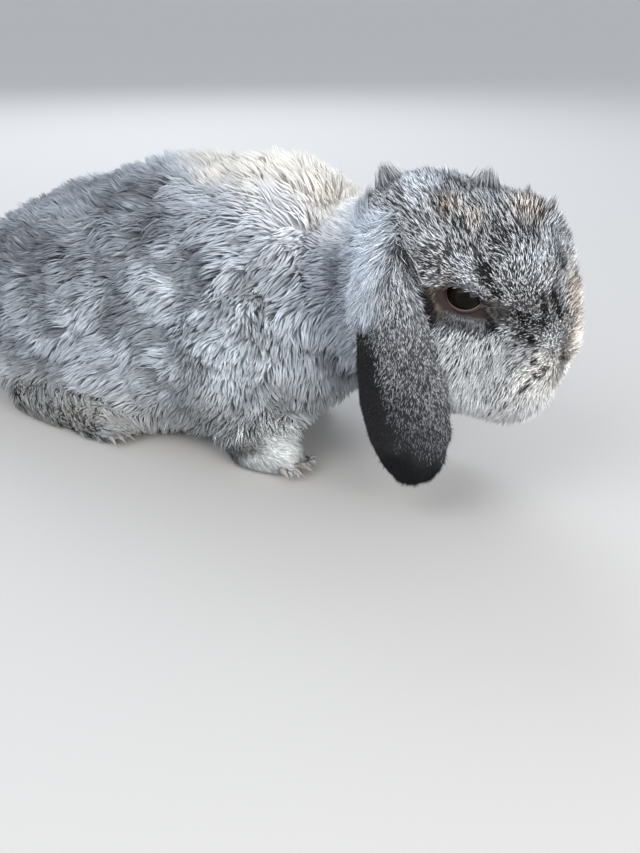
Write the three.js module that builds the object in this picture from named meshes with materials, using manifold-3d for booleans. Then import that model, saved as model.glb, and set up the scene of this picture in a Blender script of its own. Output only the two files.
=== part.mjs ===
// A lop-eared rabbit at life size, standing low on its four feet with its head stretched forward.
// Units are millimetres. +Z is up, +X is the way the trunk faces, and the feet stand on z = 0.
// The flesh is one smooth field of named masses, out to the tips of the coat. It is meshed and then
// parted by thin cuts into head, neck, trunk, tail and the lengths of each leg. The ears, eyes and
// claws are pieces of their own that meet the flesh face to face.
import * as THREE from "three";
import { mergeVertices } from "three/addons/utils/BufferGeometryUtils.js";
import Module from "manifold-3d";

const wasm = await Module();
wasm.setup();

// ---- Driving dimensions

const GAP = 0.3; // left between two pieces that touch
const BODY_CELL = 15.5; // mesh step on the trunk and thighs
const FINE_CELL = 9; // mesh step on the head, neck, paws and tail

const HEAD_LENGTH = 116;
const HEAD_WIDTH = 86;
const BACK_HEIGHT = 145;
const TRUNK_WIDTH = 128;
const EYE_DIAMETER = 17;
const LID_OPENING = [15, 9.6]; // long and high
const EAR_LENGTH = 132;
const EAR_WIDTH = 44;
const EAR_THICKNESS = 7;
const LEFT_EAR_BACK = 9; // the left ear's tip hangs this much further back
const HIND_FOOT_LENGTH = 92;
const FORE_PAW_LENGTH = 46;
const CLAW_LENGTH = 8; // half of it stands out of the toe
const CLAW_WIDTH = 3.2;

const HEAD_PLACE = vec(84, 0, 95); // the head's middle, above and ahead of the fore paws
const HEAD_YAW = 14; // degrees to the rabbit's left
const HEAD_PITCH = 34; // degrees, nose down

const SHOULDER_X = -18;
const HIP_X = -146;
const STRIDE = 38; // how far the left fore paw stands behind the right one
const FORE_FOOT_Y = 36;
const HIND_FOOT_Y = 56;
const TAIL_X = -253;

// ---- Small helpers

function vec(x, y, z) {
  return new THREE.Vector3(x, y, z);
}

function degrees(x, y, z) {
  const turn = (angle) => THREE.MathUtils.degToRad(angle);
  return new THREE.Quaternion().setFromEuler(
    new THREE.Euler(turn(x), turn(y), turn(z), "ZYX"),
  );
}

// ---- Fields: each takes a point and gives its distance from a mass, negative inside

function ellipsoid(centre, radii, turn = new THREE.Quaternion()) {
  const back = turn.clone().invert();
  return (point) => {
    const q = point.clone().sub(centre).applyQuaternion(back);
    const near = q.divide(radii).length();
    const slope = q.divide(radii).length();
    return slope > 0 ? (near * (near - 1)) / slope : -radii.z;
  };
}

function limb(from, to, startRadius, endRadius) {
  const line = new THREE.Line3(from, to);
  const foot = vec(0, 0, 0);
  return (point) => {
    const along = line.closestPointToPointParameter(point, true);
    line.at(along, foot);
    return (
      foot.distanceTo(point) - THREE.MathUtils.lerp(startRadius, endRadius, along)
    );
  };
}

function blend(reach, ...fields) {
  return (point) =>
    fields
      .map((field) => field(point))
      .reduce((a, b) => {
        const share = Math.max(reach - Math.abs(a - b), 0) / reach;
        return Math.min(a, b) - (share * share * reach) / 4;
      });
}

function placed(matrix, field) {
  const back = matrix.clone().invert();
  return (point) => field(point.clone().applyMatrix4(back));
}

// ---- Meshing a field: one vertex in each cell that the surface crosses, moved onto the surface

function surfaceOf(mass, box, cell) {
  const inner = box.clone().expandByScalar(-1.6 * cell);
  const field = (point) => Math.max(mass(point), outsideBy(point, inner));
  const counts = box.getSize(vec(0, 0, 0)).divideScalar(cell).ceil();
  const [nx, ny, nz] = [counts.x + 1, counts.y + 1, counts.z + 1];
  const at = (i, j, k) => (k * ny + j) * nx + i;
  const corner = (i, j, k) => vec(i, j, k).multiplyScalar(cell).add(box.min);
  const values = new Float32Array(nx * ny * nz);
  for (let k = 0; k < nz; k++)
    for (let j = 0; j < ny; j++)
      for (let i = 0; i < nx; i++) values[at(i, j, k)] = field(corner(i, j, k));

  const steps = [vec(1, 0, 0), vec(0, 1, 0), vec(0, 0, 1)];
  const strides = [at(1, 0, 0), at(0, 1, 0), at(0, 0, 1)];
  while (openSaddles(values, strides) > 0);

  const positions = [];
  const vertexOf = new Map();
  const ends = [0, 1, 2, 3, 4, 5, 6, 7].map((n) => vec(n & 1, (n >> 1) & 1, n >> 2));
  const edges = ends.flatMap((a) =>
    steps.map((s) => [a, a.clone().add(s)]).filter(([, b]) => Math.max(b.x, b.y, b.z) < 2),
  );
  for (let k = 0; k < nz - 1; k++)
    for (let j = 0; j < ny - 1; j++)
      for (let i = 0; i < nx - 1; i++) {
        const middle = vec(0, 0, 0);
        let crossings = 0;
        for (const [a, b] of edges) {
          const va = values[at(i + a.x, j + a.y, k + a.z)];
          const vb = values[at(i + b.x, j + b.y, k + b.z)];
          if (va < 0 === vb < 0) continue;
          middle.add(a.clone().lerp(b, va / (va - vb)));
          crossings++;
        }
        if (!crossings) continue;
        middle.divideScalar(crossings).multiplyScalar(cell).add(corner(i, j, k));
        settle(middle, field, cell);
        vertexOf.set(at(i, j, k), positions.length / 3);
        positions.push(...middle.toArray());
      }

  const index = [];
  const place = (n) => vec(...positions.slice(3 * n, 3 * n + 3));
  const apart = (m, n) => place(m).distanceTo(place(n));
  const around = [
    [[0, 0, 0], [0, -1, 0], [0, -1, -1], [0, 0, -1]],
    [[0, 0, 0], [0, 0, -1], [-1, 0, -1], [-1, 0, 0]],
    [[0, 0, 0], [-1, 0, 0], [-1, -1, 0], [0, -1, 0]],
  ];
  for (let k = 1; k < nz - 1; k++)
    for (let j = 1; j < ny - 1; j++)
      for (let i = 1; i < nx - 1; i++)
        steps.forEach((s, axis) => {
          const here = values[at(i, j, k)] < 0;
          const there = values[at(i + s.x, j + s.y, k + s.z)] < 0;
          if (here === there) return;
          const quad = around[axis].map(([x, y, z]) => vertexOf.get(at(i + x, j + y, k + z)));
          if (!here) quad.reverse();
          const [a, b, c, d] = quad;
          if (apart(a, c) < apart(b, d)) index.push(a, b, c, a, c, d);
          else index.push(b, c, d, b, d, a);
        });

  return new THREE.BufferGeometry()
    .setAttribute("position", new THREE.Float32BufferAttribute(positions, 3))
    .setIndex(index);
}

// Where a square of the grid is inside at two opposite corners only, two sheets would meet in one
// vertex, so the corner nearest the surface changes side. Returns how many squares it changed.
function openSaddles(values, strides) {
  let changed = 0;
  for (let axis = 0; axis < 3; axis++) {
    const [u, v] = strides.filter((_, n) => n !== axis);
    for (let here = 0; here + u + v < values.length; here++) {
      const square = [here, here + u, here + u + v, here + v];
      const inside = square.map((n) => values[n] < 0);
      if (inside[0] === inside[1] || inside[0] !== inside[2] || inside[1] !== inside[3]) continue;
      const nearest = square.reduce((a, b) => (Math.abs(values[a]) < Math.abs(values[b]) ? a : b));
      values[nearest] = values[nearest] < 0 ? 1e-3 : -1e-3;
      changed++;
    }
  }
  return changed;
}

// How far a point is outside a box, negative inside.
function outsideBy(point, box) {
  const past = box.min.clone().sub(point).max(point.clone().sub(box.max));
  return Math.max(past.x, past.y, past.z);
}

// Steps a point along the field's slope until it lies on the surface.
function settle(point, field, cell) {
  const nudge = cell / 50;
  for (let step = 0; step < 4; step++) {
    const value = field(point);
    const slope = vec(
      field(point.clone().add(vec(nudge, 0, 0))) - value,
      field(point.clone().add(vec(0, nudge, 0))) - value,
      field(point.clone().add(vec(0, 0, nudge))) - value,
    ).divideScalar(nudge);
    point.addScaledVector(slope, -value / Math.max(slope.lengthSq(), 0.25));
  }
}

// ---- Solids

function solid(geometry) {
  const bare = geometry.clone();
  bare.deleteAttribute("normal");
  bare.deleteAttribute("uv");
  const merged = mergeVertices(bare, 1e-3);
  return new wasm.Manifold(
    new wasm.Mesh({
      numProp: 3,
      vertProperties: new Float32Array(merged.attributes.position.array),
      triVerts: new Uint32Array(merged.index.array),
    }),
  );
}

function ball(centre, radii, turn = new THREE.Quaternion(), sides = 8) {
  const place = new THREE.Matrix4().compose(centre, turn, radii);
  return solid(new THREE.SphereGeometry(1, sides, 0.75 * sides).applyMatrix4(place));
}

// Everything ahead of a point, along a direction.
function halfSpace(point, direction) {
  const reach = 600;
  const turn = new THREE.Quaternion().setFromUnitVectors(
    vec(0, 0, 1),
    direction.clone().normalize(),
  );
  return solid(
    new THREE.BoxGeometry(reach, reach, reach)
      .translate(0, 0, reach / 2)
      .applyQuaternion(turn)
      .translate(point.x, point.y, point.z),
  );
}

const rabbit = new THREE.Group();
rabbit.name = "rabbit";

function addNode(name, shape, material) {
  const largest = shape.decompose().reduce((a, b) => (a.volume() > b.volume() ? a : b));
  const data = largest.getMesh();
  const geometry = new THREE.BufferGeometry()
    .setAttribute("position", new THREE.BufferAttribute(data.vertProperties, 3))
    .setIndex(new THREE.BufferAttribute(data.triVerts, 1));
  geometry.computeVertexNormals();
  const mesh = new THREE.Mesh(geometry, material);
  mesh.name = name;
  rabbit.add(mesh);
}

// ---- Materials

const coat = (color) => new THREE.MeshStandardMaterial({ color, roughness: 0.9, metalness: 0 });
const GREY_COAT = coat(0x8d9096);
const PALE_COAT = coat(0xb9b6b0);
const DARK_COAT = coat(0x4a4b50);
const CLAW = new THREE.MeshStandardMaterial({ color: 0x6b5d52, roughness: 0.5, metalness: 0 });
const EYE = new THREE.MeshStandardMaterial({ color: 0x1a100c, roughness: 0.1, metalness: 0 });

// ---- Head: a blunt muzzle, full cheeks, a round brow and the crown where the ears root

const headMatrix = new THREE.Matrix4().compose(
  HEAD_PLACE,
  degrees(0, HEAD_PITCH, HEAD_YAW),
  vec(1, 1, 1),
);

function headField() {
  const half = HEAD_LENGTH / 2;
  const wide = HEAD_WIDTH / 2;
  const pair = (x, y, z, radii) => [
    ellipsoid(vec(x, -y, z), radii),
    ellipsoid(vec(x, y, z), radii),
  ];
  return blend(
    14,
    ellipsoid(vec(-0.36 * half, 0, 2), vec(0.74 * half, 0.84 * wide, 35)), // brain case
    ellipsoid(vec(-0.44 * half, 0, 14), vec(0.5 * half, 0.82 * wide, 20)), // crown
    ellipsoid(vec(0.1 * half, 0, 16), vec(0.54 * half, 0.72 * wide, 33)), // brow
    limb(vec(0.2 * half, 0, 16), vec(0.6 * half, 0, 9), 23, 16.5), // nose bridge
    ellipsoid(vec(0.5 * half, 0, -12), vec(0.38 * half, 0.56 * wide, 20)), // muzzle
    ellipsoid(vec(0.47 * half, 0, -27), vec(0.42 * half, 0.5 * wide, 16)), // chin
    ...pair(-0.06 * half, 0.5 * wide, -18, vec(0.56 * half, 0.46 * wide, 28)), // cheeks
  );
}

const headMass = placed(headMatrix, headField());

// ---- Neck, trunk, legs and tail. A side is -1 on the rabbit's right and 1 on its left.

function trunkField() {
  const wide = TRUNK_WIDTH / 2;
  const top = BACK_HEIGHT;
  return blend(
    26,
    ellipsoid(vec(-12, 0, top - 64), vec(52, 0.74 * wide, 64)), // chest
    ellipsoid(vec(-70, 0, top - 61), vec(90, 0.86 * wide, 60)), // ribs
    ellipsoid(vec(-92, -0.44 * wide, 42), vec(88, 0.53 * wide, 39)), // right flank
    ellipsoid(vec(-92, 0.44 * wide, 42), vec(88, 0.53 * wide, 39)), // left flank
    ellipsoid(vec(HIP_X - 3, 0, 57), vec(74, 0.88 * wide, 65)), // rump
    ellipsoid(vec(HIP_X - 48, -0.38 * wide, 47), vec(52, 0.58 * wide, 42)), // right buttock
    ellipsoid(vec(HIP_X - 48, 0.38 * wide, 47), vec(52, 0.58 * wide, 42)), // left buttock
  );
}

function neckField() {
  return limb(vec(4, 0, 79), vec(64, 0, 86), 41, 34);
}

function foreFootX(side) {
  return side < 0 ? 0 : -STRIDE;
}

function foreLegField(side) {
  const paw = FORE_PAW_LENGTH / 2;
  const x = foreFootX(side);
  return blend(
    14,
    ellipsoid(vec(SHOULDER_X, 34 * side, 78), vec(36, 22, 46)), // shoulder
    limb(vec(x - 34, FORE_FOOT_Y * side, 46), vec(x - 18, FORE_FOOT_Y * side, 14), 24, 14),
    ellipsoid(vec(x - 2, FORE_FOOT_Y * side, 10), vec(paw, 14, 12)), // paw
  );
}

function hindToes(side) {
  return vec(HIP_X + HIND_FOOT_LENGTH - 35, (HIND_FOOT_Y + 3) * side, 9.5);
}

function hindLegField(side) {
  const heel = vec(HIP_X - 8, HIND_FOOT_Y * side, 13);
  return blend(
    16,
    ellipsoid(vec(HIP_X, 42 * side, 54), vec(61, 28, 50)), // thigh
    limb(heel, hindToes(side), 14, 11.5),
  );
}

function tailField() {
  return blend(
    10,
    limb(vec(TAIL_X + 22, 0, 54), vec(TAIL_X + 4, 0, 62), 17, 15),
    ellipsoid(vec(TAIL_X, 0, 69), vec(15, 16, 20)),
  );
}

const bodyMass = blend(
  18,
  trunkField(),
  neckField(),
  foreLegField(-1),
  foreLegField(1),
  hindLegField(-1),
  hindLegField(1),
  tailField(),
);
const allMass = blend(16, bodyMass, headMass);

// The flesh in one box, cut flat at the floor. A margin keeps the box's own faces out of the way.
function fleshIn(low, high, cell) {
  const box = new THREE.Box3(low, high).expandByScalar(3 * cell);
  return solid(surfaceOf(allMass, box, cell)).subtract(halfSpace(vec(0, 0, 0), vec(0, 0, -1)));
}

// ---- Ears: leaves that fold over from the crown and hang, rolled at the root and rounded at the tip

const levelHead = new THREE.Matrix4().compose(HEAD_PLACE, degrees(0, 0, HEAD_YAW), vec(1, 1, 1));

function earGeometry(side, extra) {
  const reach = EAR_LENGTH / 132;
  const back = side > 0 ? LEFT_EAR_BACK : 0;
  const route = new THREE.CatmullRomCurve3([
    vec(-27, 18 * side, 37),
    vec(-25, 36 * side, 28),
    vec(-24, 46 * side, 30 - 26 * reach),
    vec(-18 - 0.5 * back, 46 * side, 30 - 66 * reach),
    vec(-10 - back, 41 * side, 30 - 108 * reach),
  ]);
  const ring = new THREE.SphereGeometry(1, 12, 11);
  const places = ring.attributes.position;
  for (let n = 0; n < places.count; n++) {
    const spot = vec(0, 0, 0).fromBufferAttribute(places, n);
    const along = (1 - spot.y) / 2;
    const swell = 0.42 + 0.58 * THREE.MathUtils.smoothstep(along, 0.08, 0.66);
    const halfWidth = (swell * EAR_WIDTH) / 2 + extra;
    const halfThick = (EAR_THICKNESS * (1.3 - 0.45 * along)) / 2 + extra;
    const roll = THREE.MathUtils.degToRad(THREE.MathUtils.lerp(80, 34, along));
    const round = Math.hypot(spot.x, spot.z) || 1;
    const close = Math.min(1, Math.sqrt(1 - Math.max(0, (along - 0.74) / 0.26) ** 2), 5 * round);
    const across = (close * spot.x) / round;
    const radius = (halfWidth / Math.sin(roll)) * 0.98;
    const down = route.getTangentAt(along);
    const ahead = vec(0, side, 0).cross(down).normalize();
    const out = down.clone().cross(ahead);
    const proud = radius * (Math.cos(across * roll) - 1) + (close * halfThick * spot.z) / round;
    route
      .getPointAt(along)
      .addScaledVector(ahead, radius * Math.sin(across * roll))
      .addScaledVector(out, proud)
      .applyMatrix4(levelHead)
      .toArray(places.array, 3 * n);
  }
  return ring;
}

// ---- Eyes: balls deep in the sides of the head, behind an opening between the lids

const EYE_SIDES = 12; // facets round an eye

function eyeball(side, extra) {
  const radius = EYE_DIAMETER / 2 + extra;
  const centre = vec(-1, 25.5 * side, 8.6).applyMatrix4(headMatrix);
  return ball(centre, vec(radius, radius, radius), new THREE.Quaternion(), EYE_SIDES);
}

function eyeSocket(side) {
  const [long, high] = LID_OPENING;
  const opening = vec(-1, 34 * side, 8.6).applyMatrix4(headMatrix);
  const turn = degrees(0, HEAD_PITCH, HEAD_YAW);
  return eyeball(side, GAP).add(ball(opening, vec(long / 2, 5, high / 2), turn, EYE_SIDES));
}

// ---- Claws: short cones that bend to the ground, rooted in the front of each toe

function clawGeometry({ root, heading }, extra) {
  const length = CLAW_LENGTH + extra;
  const width = CLAW_WIDTH + 2 * extra;
  const cone = new THREE.ConeGeometry(width / 2, 1, 5, 2).translate(0, 0.5, 0);
  const ahead = vec(Math.cos(heading), Math.sin(heading), -0.12);
  const turn = new THREE.Quaternion().setFromUnitVectors(vec(0, 1, 0), ahead.normalize());
  const places = cone.attributes.position;
  for (let n = 0; n < places.count; n++) {
    const spot = vec(0, 0, 0).fromBufferAttribute(places, n);
    const along = spot.y;
    spot.setY(along * length).applyQuaternion(turn).add(root);
    spot.z -= 0.22 * length * along ** 2;
    spot.toArray(places.array, 3 * n);
  }
  return cone;
}

// Each foot's claws as { name, root, heading }, fanned round the front of the paw.
function clawsOf(foot, side, centre, halfLength, halfWidth, count) {
  const fan = THREE.MathUtils.degToRad(76);
  return Array.from({ length: count }, (_, n) => {
    const heading = fan * (n / (count - 1) - 0.5) * side;
    const root = vec(halfLength * Math.cos(heading), halfWidth * Math.sin(heading), -4.5).add(centre);
    return { name: `claw_${foot}_${n + 1}`, root, heading: 0.6 * heading };
  });
}

function pawClaws(foot, side) {
  if (foot.startsWith("fore")) {
    const centre = vec(foreFootX(side) - 2, FORE_FOOT_Y * side, 10);
    const inner = vec(foreFootX(side) + 9, (FORE_FOOT_Y - 10) * side, 6);
    return [
      ...clawsOf(foot, side, centre, 17, 12, 4),
      { name: `claw_${foot}_5`, root: inner, heading: -0.5 * side },
    ];
  }
  return clawsOf(foot, side, hindToes(side), 6, 9, 4);
}

// ---- Where the flesh is parted: a plane each side of the neck, and a ball round each leg part

const headCut = [vec(50, 0, 90), vec(0.968, 0.1, 0.25)];
const neckCut = [vec(20, 0, 100), vec(0.85, 0, 0.5)];

const aheadOf = ([point, direction], gap) => {
  const unit = direction.clone().normalize();
  return halfSpace(point.clone().addScaledVector(unit, gap), unit);
};

const grown = (radii, gap) => radii.addScalar(gap);
const forePawBall = (side, gap) =>
  ball(vec(foreFootX(side) - 2, FORE_FOOT_Y * side, 8), grown(vec(28, 19, 20), gap));
const foreLegBall = (side, gap) =>
  ball(vec(foreFootX(side) - 19, 60 * side, 50), grown(vec(33, 46, 53), gap));
const hindFootBall = (side, gap) =>
  ball(vec(HIP_X + 25, (HIND_FOOT_Y + 2) * side, 6), grown(vec(58, 20, 20), gap));
const thighBall = (side, gap) =>
  ball(vec(HIP_X - 8, 72 * side, 50), grown(vec(55, 56, 56), gap));
const tailBall = (gap) => ball(vec(TAIL_X - 4, 0, 66), grown(vec(22, 24, 28), gap));

// ---- The nodes

const sides = [["right", -1], ["left", 1]];
const bothSides = (make) => make(-1).add(make(1));

for (const [name, side] of sides) {
  addNode(`ear_${name}`, solid(earGeometry(side, 0)), GREY_COAT);
  addNode(`eye_${name}`, eyeball(side, 0), EYE);
}

const ears = bothSides((side) => solid(earGeometry(side, GAP)));
const headFlesh = fleshIn(vec(0, -75, 10), vec(165, 90, 165), FINE_CELL).subtract(ears);
addNode(
  "head",
  headFlesh.intersect(aheadOf(headCut, 0)).subtract(bothSides(eyeSocket)),
  GREY_COAT,
);
addNode(
  "neck",
  headFlesh.intersect(aheadOf(neckCut, 0)).subtract(aheadOf(headCut, -GAP)),
  PALE_COAT,
);

const bodyFlesh = fleshIn(vec(-290, -90, -3), vec(90, 90, 155), BODY_CELL);
const partedFromTrunk = [
  ears,
  aheadOf(neckCut, -GAP),
  bothSides((side) => forePawBall(side, GAP)),
  bothSides((side) => foreLegBall(side, GAP)),
  bothSides((side) => hindFootBall(side, GAP)),
  bothSides((side) => thighBall(side, GAP)),
  tailBall(GAP),
];
addNode("trunk", partedFromTrunk.reduce((rest, cut) => rest.subtract(cut), bodyFlesh), GREY_COAT);
const tailFlesh = fleshIn(vec(TAIL_X - 30, -30, 34), vec(TAIL_X + 20, 30, 100), FINE_CELL);
addNode("tail", tailFlesh.intersect(tailBall(0)), DARK_COAT);

const clawHoles = (claws) =>
  claws.map((claw) => solid(clawGeometry(claw, GAP))).reduce((all, hole) => all.add(hole));

for (const [name, side] of sides) {
  const foreX = foreFootX(side);
  const foreY = FORE_FOOT_Y * side;
  const foreFlesh = fleshIn(
    vec(foreX - 60, foreY - 35, 0),
    vec(foreX + 35, foreY + 35, 110),
    FINE_CELL,
  );
  const foreClaws = pawClaws(`fore_${name}`, side);
  addNode(
    `foreleg_${name}`,
    foreFlesh
      .intersect(foreLegBall(side, 0))
      .subtract(forePawBall(side, GAP))
      .subtract(hindFootBall(side, GAP)),
    GREY_COAT,
  );
  addNode(
    `forepaw_${name}`,
    foreFlesh.intersect(forePawBall(side, 0)).subtract(clawHoles(foreClaws)),
    PALE_COAT,
  );

  const hindY = HIND_FOOT_Y * side;
  const footFlesh = fleshIn(
    vec(HIP_X - 60, hindY - 30, 0),
    vec(HIP_X + 75, hindY + 30, 32),
    FINE_CELL,
  );
  const hindClaws = pawClaws(`hind_${name}`, side);
  addNode(
    `thigh_${name}`,
    bodyFlesh.intersect(thighBall(side, 0)).subtract(hindFootBall(side, GAP)),
    GREY_COAT,
  );
  addNode(
    `hindfoot_${name}`,
    footFlesh.intersect(hindFootBall(side, 0)).subtract(clawHoles(hindClaws)),
    PALE_COAT,
  );

  for (const claw of [...foreClaws, ...hindClaws])
    addNode(claw.name, solid(clawGeometry(claw, 0)), CLAW);
}

// The origin is under the middle of the whole animal, on the floor.
const extent = new THREE.Box3().setFromObject(rabbit);
const middle = extent.getCenter(vec(0, 0, 0));
rabbit.position.set(-middle.x, -middle.y, 0);

export default rabbit;
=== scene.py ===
import bpy
import numpy as np
from mathutils import Euler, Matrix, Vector
from mathutils.bvhtree import BVHTree
from mathutils.kdtree import KDTree


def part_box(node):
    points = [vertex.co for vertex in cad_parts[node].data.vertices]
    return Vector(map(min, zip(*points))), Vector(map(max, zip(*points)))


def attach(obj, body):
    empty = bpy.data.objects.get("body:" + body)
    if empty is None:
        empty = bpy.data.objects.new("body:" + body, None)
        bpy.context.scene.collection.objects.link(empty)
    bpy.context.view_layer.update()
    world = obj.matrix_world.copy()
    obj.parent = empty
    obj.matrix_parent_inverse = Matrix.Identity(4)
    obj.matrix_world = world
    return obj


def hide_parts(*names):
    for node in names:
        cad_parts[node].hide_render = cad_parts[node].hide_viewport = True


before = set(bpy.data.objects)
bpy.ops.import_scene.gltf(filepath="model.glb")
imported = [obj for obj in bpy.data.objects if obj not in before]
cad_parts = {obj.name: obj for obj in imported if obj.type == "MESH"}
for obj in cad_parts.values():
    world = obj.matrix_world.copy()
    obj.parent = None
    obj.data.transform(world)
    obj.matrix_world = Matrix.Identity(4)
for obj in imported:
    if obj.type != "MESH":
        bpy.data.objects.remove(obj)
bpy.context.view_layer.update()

# ---- Hide
# The one skin of the animal, from the nose to the tail and down to the toes. It is the flesh parts
# joined without a seam, drawn in from their outline by the depth of the coat that grows on them.

LIMBS = ("foreleg", "forepaw", "thigh", "hindfoot")
PARTS = ["head", "neck", "trunk", "tail"]
PARTS += [f"{limb}_{side}" for limb in LIMBS for side in ("right", "left")]
KINDS = [name.split("_")[0] for name in PARTS]
FILLERS = [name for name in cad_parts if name.startswith(("eye", "claw"))]
DEPTHS = {
    "head": 4.2, "neck": 9, "trunk": 11.5, "tail": 9,
    "foreleg": 6.5, "forepaw": 3, "thigh": 11, "hindfoot": 4.6,
}
HEAD_MIDDLE = np.array([151.7, 0, 95])
HEAD_PITCH, HEAD_YAW = np.radians(34), np.radians(14)
HEAD_TURN = np.array(Euler((0, HEAD_PITCH, HEAD_YAW), "XYZ").to_matrix())
EAR_ROOT_HEIGHT = 0.109
EAR_COAT = 0.6
GAP_FILL = 0.0004
HIDE_GRAIN, EAR_GRAIN = 0.00215, 0.0014
THIN_STEPS = 8
LUMPS = [(7, 17, 23.0), (3.4, 8, 27.0)]


def read_places(piece):
    """A piece's points in millimetres."""
    places = np.empty(3 * len(piece.data.vertices), np.float32)
    piece.data.vertices.foreach_get("co", places)
    return places.reshape(-1, 3).astype(float) * 1000


def write_places(piece, places):
    piece.data.vertices.foreach_set("co", (places / 1000).astype(np.float32).ravel())
    piece.data.update()


def read_normals(piece):
    normals = np.empty(3 * len(piece.data.vertices), np.float32)
    piece.data.vertex_normals.foreach_get("vector", normals)
    return normals.reshape(-1, 3).astype(float)


def read_edges(piece):
    ends = np.empty(2 * len(piece.data.edges), np.int32)
    piece.data.edges.foreach_get("vertices", ends)
    return ends.reshape(-1, 2)


def spread(values, edges, rounds, share=0.5):
    """Blends each point's value with the mean of its neighbours, again and again."""
    start, end = edges.T
    count = np.bincount(edges.ravel(), minlength=len(values))
    values = values.reshape(len(values), -1)
    share = np.broadcast_to(np.asarray(share, float).reshape(-1, 1), (len(values), 1))
    for _ in range(rounds):
        columns = []
        for column in values.T:
            total = np.bincount(start, column[end], len(values))
            total = total + np.bincount(end, column[start], len(values))
            columns.append(total / np.maximum(count, 1))
        values = values + share * (np.stack(columns, 1) - values)
    return values.squeeze()


def eased(low, high, values):
    """0 below low and 1 above high, with a smooth turn at both."""
    share = np.clip((values - low) / (high - low), 0, 1)
    return share * share * (3 - 2 * share)


def in_head(places):
    """Places in the head's own frame: ahead to the nose, left, and up to the crown."""
    return (places - HEAD_MIDDLE) @ HEAD_TURN


def from_head(places):
    return places @ HEAD_TURN.T + HEAD_MIDDLE


def one_side(places):
    """Places in the head's own frame, the left half laid on the right, because both are made alike."""
    ahead, left, up = in_head(places).T
    return np.stack([ahead, np.abs(left), up], 1)


lattice = np.random.default_rng(7).random((32, 32, 32))


def cloud(places, size, shift=0.0):
    """Soft random values from 0 to 1 that change over about the given size."""
    spot = places / size + 100 + shift
    cell = np.floor(spot).astype(int)
    part = spot - cell
    part = part * part * (3 - 2 * part)
    total = np.zeros(len(places))
    for corner in np.ndindex(2, 2, 2):
        share = np.prod(np.where(corner, part, 1 - part), axis=1)
        total += share * lattice[tuple(((cell + corner) % 32).T)]
    return total


def unit(vectors):
    return vectors / np.maximum(np.linalg.norm(vectors, axis=-1, keepdims=True), 1e-9)


def join(pieces):
    """Makes the pieces one, under the name of the first."""
    bpy.ops.object.select_all(action="DESELECT")
    for piece in pieces:
        piece.select_set(True)
    bpy.context.view_layer.objects.active = pieces[0]
    bpy.ops.object.join()


def copy_of(nodes, name):
    """One mesh of copies of CAD nodes, their loose triangles merged and every face selected."""
    copies = [bpy.data.objects.new(name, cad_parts[node].data.copy()) for node in nodes]
    for twin in copies:
        bpy.context.collection.objects.link(twin)
    join(copies)
    piece = bpy.context.object
    piece.name = name
    piece.data.materials.clear()
    bpy.ops.object.mode_set(mode="EDIT")
    bpy.ops.mesh.select_all(action="SELECT")
    bpy.ops.mesh.remove_doubles(threshold=1e-5)
    bpy.ops.object.mode_set(mode="OBJECT")
    return piece


def apply(piece, kind, **settings):
    bpy.context.view_layer.objects.active = piece
    modifier = piece.modifiers.new(kind.title(), kind)
    for key, value in settings.items():
        setattr(modifier, key, value)
    bpy.ops.object.modifier_apply(modifier=modifier.name)


def nearest_part(places):
    """For each place the index in PARTS of the flesh that it lies on."""
    corners, faces, owners = [], [], []
    for owner, part in enumerate(PARTS):
        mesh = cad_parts[part].data
        first = len(corners)
        corners += [1000 * v.co for v in mesh.vertices]
        faces += [[first + i for i in p.vertices] for p in mesh.polygons]
        owners += [owner] * len(mesh.polygons)
    tree = BVHTree.FromPolygons(corners, faces)
    return np.array([owners[tree.find_nearest(place)[2]] for place in places])


hide = copy_of(PARTS + FILLERS, "hide")
roots = copy_of(["ear_right", "ear_left"], "ear_roots")
bpy.ops.object.mode_set(mode="EDIT")
bpy.ops.mesh.select_all(action="SELECT")
bpy.ops.mesh.bisect(plane_co=(0, 0, EAR_ROOT_HEIGHT), plane_no=(0, 0, 1), clear_inner=True, use_fill=True)
bpy.ops.object.mode_set(mode="OBJECT")
join([hide, roots])
apply(hide, "DISPLACE", strength=GAP_FILL, mid_level=0)
apply(hide, "REMESH", mode="VOXEL", voxel_size=HIDE_GRAIN)

places = read_places(hide)
edges = read_edges(hide)
part = nearest_part(places)
fine = np.isin(KINDS, ["head", "forepaw", "hindfoot", "tail"])
rough = spread(np.where(fine[part], 0.0, 1.0), edges, 8)
places = spread(places, edges, 8)
places = spread(places, edges, 30, 0.6 * rough)
write_places(hide, places)


def coat_depth(piece):
    """How deep the coat is over each point of the hide, in millimetres."""
    places = read_places(piece)
    by_part = np.array([DEPTHS[kind] for kind in KINDS], float)
    depth = spread(by_part[nearest_part(places)], read_edges(piece), 30)
    ahead, left, up = in_head(places).T
    in_reach = eased(70, 40, np.linalg.norm(places - HEAD_MIDDLE, axis=1))
    cheek = eased(4, -14, up) * eased(-50, -10, ahead) * eased(44, 22, ahead) * eased(14, 26, np.abs(left))
    depth = depth + in_reach * (2.2 * cheek - 1.6 * eased(30, 48, ahead))
    return np.minimum(depth, 1 + 0.9 * np.maximum(places[:, 2], 0))


depth = coat_depth(hide)
for _ in range(THIN_STEPS):
    write_places(hide, places)
    places = spread(places - read_normals(hide) * depth[:, None] / THIN_STEPS, edges, 1, 0.5)
write_places(hide, places)
lumps = eased(5, 9, depth) * sum(high * (cloud(places, size, shift) - 0.5) for high, size, shift in LUMPS)
write_places(hide, places + read_normals(hide) * lumps[:, None])


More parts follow.
